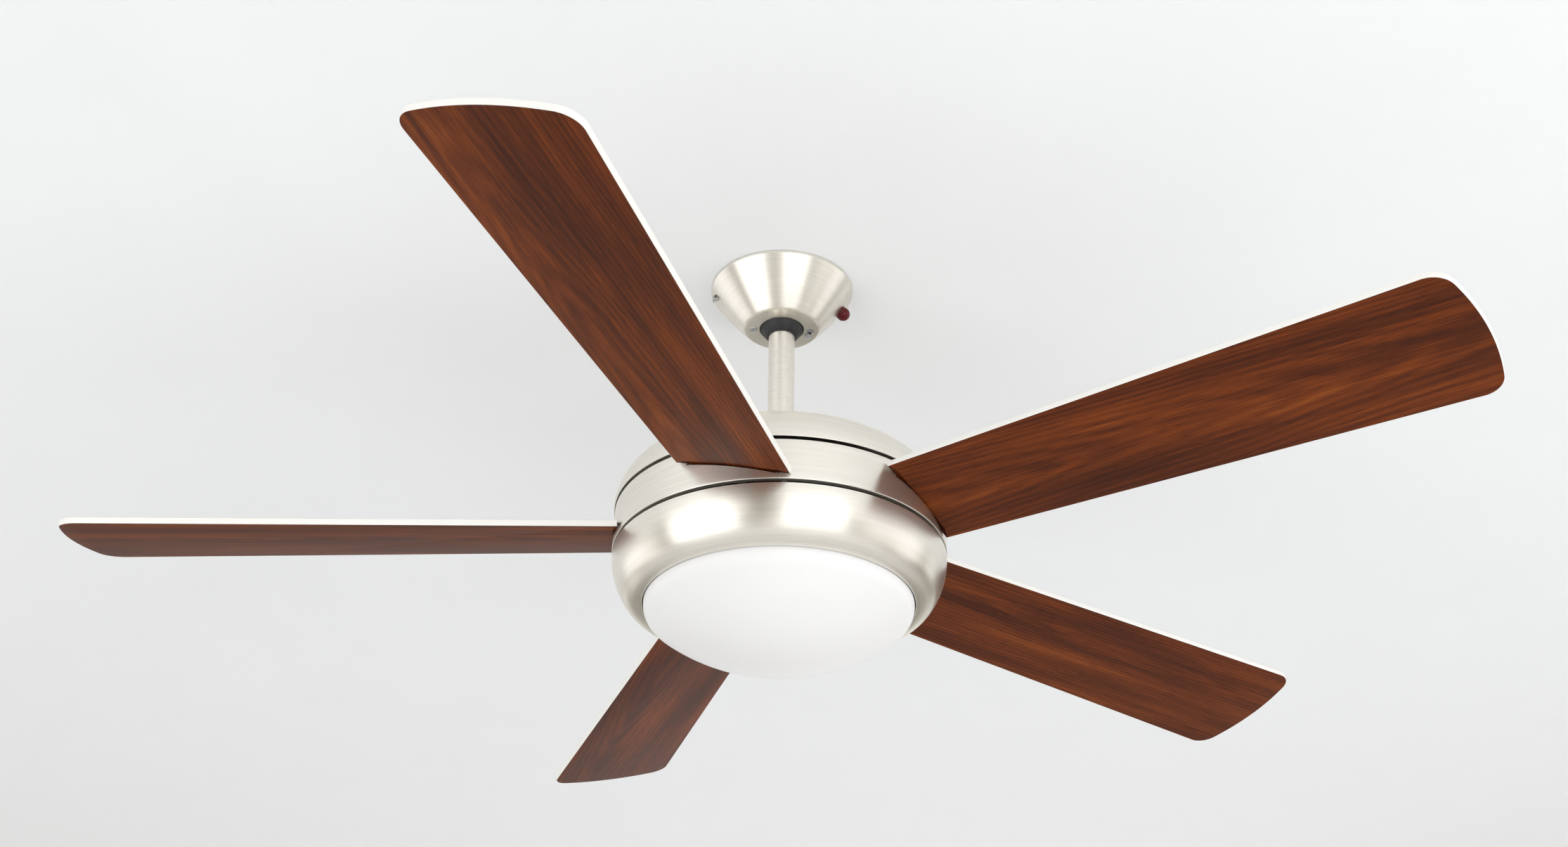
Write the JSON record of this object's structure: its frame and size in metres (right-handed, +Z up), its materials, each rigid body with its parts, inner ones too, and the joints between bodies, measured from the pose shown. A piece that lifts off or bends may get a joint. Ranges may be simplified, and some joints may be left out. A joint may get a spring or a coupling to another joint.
{
  "type": "ceiling fan with light",
  "caption": "Ceiling fan with rounded brushed-nickel housings, straight pitched walnut blades, a short downrod on a tapered canopy and a shallow opal glass light below",
  "frame": {"origin": "centre of the hanger bracket's flat top face, on the ceiling", "axes": "+Z up out of the ceiling face, +X across the hanger arms towards the infra-red window, +Y away from the gap that the rod enters by"},
  "size_m": [1.2248, 1.2764, 0.4078],
  "materials": {
    "brushed_nickel": "satin nickel plate, brushed around the axis",
    "zinc_steel": "zinc plate",
    "bright_steel": "ground bearing steel",
    "black_nylon": "moulded black nylon",
    "red_window": "dark red acrylic that passes infra-red",
    "pvc_leads": "PVC insulation",
    "white_nylon": "moulded white nylon",
    "cast_steel": "grey primer on cast steel",
    "cast_aluminium": "die-cast aluminium",
    "lamination_steel": "stacked electrical steel",
    "copper_windings": "enamelled copper wire",
    "black_arm_steel": "black powder coat",
    "walnut_blade": "walnut laminate below, white laminate on the edges and on top",
    "white_enamel": "white enamel",
    "porcelain_socket": "glazed porcelain",
    "bulb_glass": "frosted white glass",
    "opal_glass": "white opal glass, satin",
    "rubber_gasket": "soft grey rubber"
  },
  "bodies": {
    "mount": {"hanger_bracket": "zinc_steel", "ball_seat": "black_nylon", "canopy": "brushed_nickel", "canopy_ring_screws": "zinc_steel", "canopy_side_screw": "zinc_steel", "receiver_box": "black_nylon", "receiver_lens": "red_window", "earth_screw": "zinc_steel"},
    "ball_key": {"ball_key_pin": "zinc_steel"},
    "hanging": {"hanger_ball": "black_nylon", "ball_cross_pin": "zinc_steel", "set_screws": "zinc_steel", "downrod": "brushed_nickel", "fan_leads": "pvc_leads", "lead_plug": "white_nylon", "motor_coupling": "cast_steel", "coupling_pin": "zinc_steel", "coupling_clip": "zinc_steel", "shaft_pin": "zinc_steel", "coupling_cover": "brushed_nickel", "top_housing": "brushed_nickel", "top_housing_screws": "zinc_steel", "motor_shaft": "bright_steel", "shaft_nuts": "zinc_steel", "stator_core": "lamination_steel", "stator_windings": "copper_windings", "bearing_inner_races": "bright_steel", "light_kit_plate": "zinc_steel", "lower_bowl": "brushed_nickel", "bowl_screws": "zinc_steel", "pan_posts": "zinc_steel", "lamp_pan": "white_enamel", "lamp_pan_screws": "zinc_steel", "lamp_sockets": "porcelain_socket", "bulbs": "bulb_glass", "run_capacitor": "white_nylon"},
    "rotor": {"rotor_ring": "cast_steel", "rotor_upper_shell": "cast_aluminium", "rotor_lower_shell": "cast_aluminium", "shell_screws": "zinc_steel", "bearing_outer_races": "bright_steel", "bearing_balls": "bright_steel", "band_carrier": "zinc_steel", "middle_band": "brushed_nickel", "band_screws": "zinc_steel", "arm_screws": "zinc_steel", "blade_screws": "zinc_steel", "blade_arm_1": "black_arm_steel", "blade_arm_2": "black_arm_steel", "blade_arm_3": "black_arm_steel", "blade_arm_4": "black_arm_steel", "blade_arm_5": "black_arm_steel", "blade_1": "walnut_blade", "blade_2": "walnut_blade", "blade_3": "walnut_blade", "blade_4": "walnut_blade", "blade_5": "walnut_blade"},
    "shade": {"glass_shade": "opal_glass", "shade_collar": "zinc_steel", "shade_gasket": "rubber_gasket"}
  },
  "joints": [
    {"name": "ball_swing_y", "type": "hinge", "parent": "mount", "child": "ball_key", "pos_m": [0, 0, -0.038], "axis": [0, 1, 0], "range_deg": [-12, 12]},
    {"name": "ball_swing_x", "type": "hinge", "parent": "ball_key", "child": "hanging", "pos_m": [0, 0, -0.038], "axis": [1, 0, 0], "range_deg": [-12, 12]},
    {"name": "fan_spin", "type": "hinge", "parent": "hanging", "child": "rotor", "pos_m": [0, 0, -0.2845], "axis": [0, 0, 1], "continuous": true},
    {"name": "shade_twist", "type": "hinge", "parent": "hanging", "child": "shade", "pos_m": [0, 0, -0.343], "axis": [0, 0, 1], "range_deg": [0, 25]}
  ]
}
